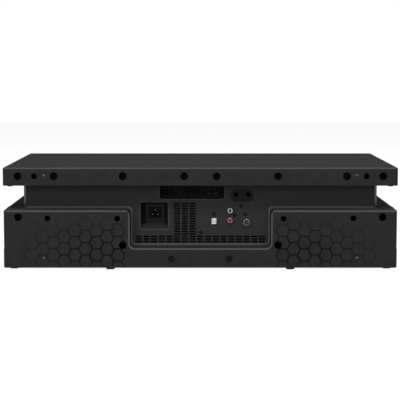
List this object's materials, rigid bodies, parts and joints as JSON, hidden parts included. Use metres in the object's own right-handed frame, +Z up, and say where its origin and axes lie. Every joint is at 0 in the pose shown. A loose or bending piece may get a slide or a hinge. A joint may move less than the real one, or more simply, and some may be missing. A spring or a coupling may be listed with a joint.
{
  "type": "one-box disc player hi-fi",
  "caption": "Wide low one-box hi-fi: overhanging top plate on a recessed neck, honeycomb relief rear with a connector bay, disc tray and loudspeakers in front.",
  "frame": {"origin": "on the floor under the middle of the cabinet", "axes": "+X to the right seen from the front, front faces -Y, +Z up"},
  "size_m": [0.703, 0.4, 0.1838],
  "materials": {
    "case_plastic": "fine satin grain",
    "foot_rubber": "matt",
    "black_steel": "satin black",
    "socket_black": "matt",
    "white_plastic": "semi gloss",
    "red_plastic": "semi gloss",
    "bright_metal": "bright nickel",
    "board_green": "lacquered laminate",
    "ferrite": "matt",
    "sink_aluminium": "extruded",
    "grille_black": "satin",
    "window_dark": "gloss",
    "display_glass": "smoked",
    "knob_plastic": "satin",
    "board_wood": "raw board",
    "basket_steel": "zinc and black",
    "cone_paper": "matt coated",
    "tray_plastic": "satin",
    "door_plastic": "satin",
    "gear_plastic": "natural acetal",
    "polished_steel": "polished",
    "zinc_steel": "zinc plated"
  },
  "bodies": {
    "cabinet": {"top_cover": "case_plastic", "under_panel": "case_plastic", "rear_cover": "case_plastic", "front_cabinet": "case_plastic", "bottom_tray": "case_plastic", "fascia": "case_plastic", "feet": "foot_rubber", "woofer_surrounds": "foot_rubber", "drive_belt": "foot_rubber", "cover_screws": "black_steel", "mains_inlet": "socket_black", "rear_jack_sockets": "socket_black", "fan_frame": "socket_black", "front_controls": "socket_black", "tweeters": "socket_black", "white_phono_jack": "white_plastic", "wire_antenna_socket": "white_plastic", "red_phono_jack": "red_plastic", "coax_antenna_socket": "bright_metal", "inlet_pins": "bright_metal", "jack_board": "board_green", "main_board": "board_green", "power_board": "board_green", "front_board": "board_green", "transformer": "ferrite", "woofer_magnets": "ferrite", "heat_sink": "sink_aluminium", "left_grille": "grille_black", "right_grille": "grille_black", "display_window": "window_dark", "display_module": "display_glass", "speaker_enclosures": "board_wood", "woofer_frames": "basket_steel", "loading_motor": "basket_steel", "loader_chassis": "tray_plastic", "clamp_bridge": "tray_plastic", "mech_bracket": "zinc_steel"},
    "tray": {"disc_tray": "tray_plastic", "tray_door": "door_plastic"},
    "loading_gear": {"loading_gear": "gear_plastic"},
    "loading_pulley": {"loading_pulley": "gear_plastic"},
    "motor_pulley": {"motor_pulley": "gear_plastic"},
    "traverse": {"traverse": "tray_plastic", "traverse_motors": "basket_steel", "guide_rods": "polished_steel"},
    "turntable": {"turntable": "gear_plastic"},
    "sled": {"pickup_sled": "gear_plastic"},
    "lead_screw": {"lead_screw": "polished_steel"},
    "clamp": {"clamp_puck": "gear_plastic"},
    "fan_rotor": {"fan_rotor": "socket_black"},
    "volume_knob": {"volume_knob": "knob_plastic"},
    "level_knob": {"level_knob": "knob_plastic"},
    "power_button": {"power_button": "knob_plastic"},
    "eject_button": {"eject_button": "knob_plastic"},
    "left_cone": {"left_woofer_cone": "cone_paper"},
    "right_cone": {"right_woofer_cone": "cone_paper"},
    "key_1": {"key_1": "knob_plastic"},
    "key_2": {"key_2": "knob_plastic"},
    "key_3": {"key_3": "knob_plastic"},
    "key_4": {"key_4": "knob_plastic"}
  },
  "joints": [
    {"name": "tray_slide", "type": "slide", "parent": "cabinet", "child": "tray", "axis": [0, -1, 0], "range_m": [0, 0.13]},
    {"name": "loading_gear_turn", "type": "hinge", "parent": "cabinet", "child": "loading_gear", "pos_m": [0.0474, -0.1567, 0.126], "axis": [0, 0, 1], "continuous": true},
    {"name": "loading_pulley_turn", "type": "hinge", "parent": "cabinet", "child": "loading_pulley", "pos_m": [0.0254, -0.1567, 0.126], "axis": [0, 0, 1], "continuous": true},
    {"name": "motor_pulley_turn", "type": "hinge", "parent": "cabinet", "child": "motor_pulley", "pos_m": [-0.0196, -0.1567, 0.128], "axis": [0, 0, 1], "continuous": true},
    {"name": "traverse_lift", "type": "hinge", "parent": "cabinet", "child": "traverse", "pos_m": [0, -0.0205, 0.126], "axis": [-1, 0, 0], "range_deg": [0, 7]},
    {"name": "turntable_spin", "type": "hinge", "parent": "traverse", "child": "turntable", "pos_m": [0, -0.11558, 0.12904], "axis": [0, -0.1219, 0.9925], "continuous": true},
    {"name": "clamp_spin", "type": "hinge", "parent": "cabinet", "child": "clamp", "pos_m": [0, -0.1145, 0.146], "axis": [0, 0, 1], "continuous": true},
    {"name": "sled_slide", "type": "slide", "parent": "traverse", "child": "sled", "axis": [0, 0.9925, 0.1219], "range_m": [0, 0.034]},
    {"name": "lead_screw_turn", "type": "hinge", "parent": "traverse", "child": "lead_screw", "pos_m": [-0.035, -0.07424, 0.12061], "axis": [0, 0.9925, 0.1219], "continuous": true},
    {"name": "fan_spin", "type": "hinge", "parent": "cabinet", "child": "fan_rotor", "pos_m": [0.01515, 0.1192, 0.1225], "axis": [0, 1, 0], "continuous": true},
    {"name": "volume_turn", "type": "hinge", "parent": "cabinet", "child": "volume_knob", "pos_m": [0, -0.19, 0.036], "axis": [0, 1, 0], "continuous": true},
    {"name": "level_turn", "type": "hinge", "parent": "cabinet", "child": "level_knob", "pos_m": [-0.07, -0.19, 0.046], "axis": [0, 1, 0], "range_deg": [-150, 150]},
    {"name": "power_button_press", "type": "slide", "parent": "cabinet", "child": "power_button", "axis": [0, 1, 0], "range_m": [0, 0.001], "stiffness_N_per_m": 300, "springref_m": -0.0005},
    {"name": "eject_button_press", "type": "slide", "parent": "cabinet", "child": "eject_button", "axis": [0, 1, 0], "range_m": [0, 0.001], "stiffness_N_per_m": 300, "springref_m": -0.0005},
    {"name": "key_1_press", "type": "slide", "parent": "cabinet", "child": "key_1", "axis": [0, 1, 0], "range_m": [0, 0.001], "stiffness_N_per_m": 300, "springref_m": -0.0005},
    {"name": "key_2_press", "type": "slide", "parent": "cabinet", "child": "key_2", "axis": [0, 1, 0], "range_m": [0, 0.001], "stiffness_N_per_m": 300, "springref_m": -0.0005},
    {"name": "key_3_press", "type": "slide", "parent": "cabinet", "child": "key_3", "axis": [0, 1, 0], "range_m": [0, 0.001], "stiffness_N_per_m": 300, "springref_m": -0.0005},
    {"name": "key_4_press", "type": "slide", "parent": "cabinet", "child": "key_4", "axis": [0, 1, 0], "range_m": [0, 0.001], "stiffness_N_per_m": 300, "springref_m": -0.0005},
    {"name": "left_cone_stroke", "type": "slide", "parent": "cabinet", "child": "left_cone", "axis": [0, -1, 0], "range_m": [-0.0025, 0.0025], "stiffness_N_per_m": 1500, "deforming": ["woofer_surrounds"]},
    {"name": "right_cone_stroke", "type": "slide", "parent": "cabinet", "child": "right_cone", "axis": [0, -1, 0], "range_m": [-0.0025, 0.0025], "stiffness_N_per_m": 1500, "deforming": ["woofer_surrounds"]}
  ],
  "couplings": [
    {"joint": "loading_gear_turn", "follows": "tray_slide", "rad_per_m": -104.17},
    {"joint": "loading_pulley_turn", "follows": "tray_slide", "rad_per_m": 277.78},
    {"joint": "motor_pulley_turn", "follows": "tray_slide", "rad_per_m": 625},
    {"joint": "clamp_spin", "follows": "turntable_spin", "ratio": 1},
    {"joint": "lead_screw_turn", "follows": "sled_slide", "rad_per_m": 2094.4}
  ]
}
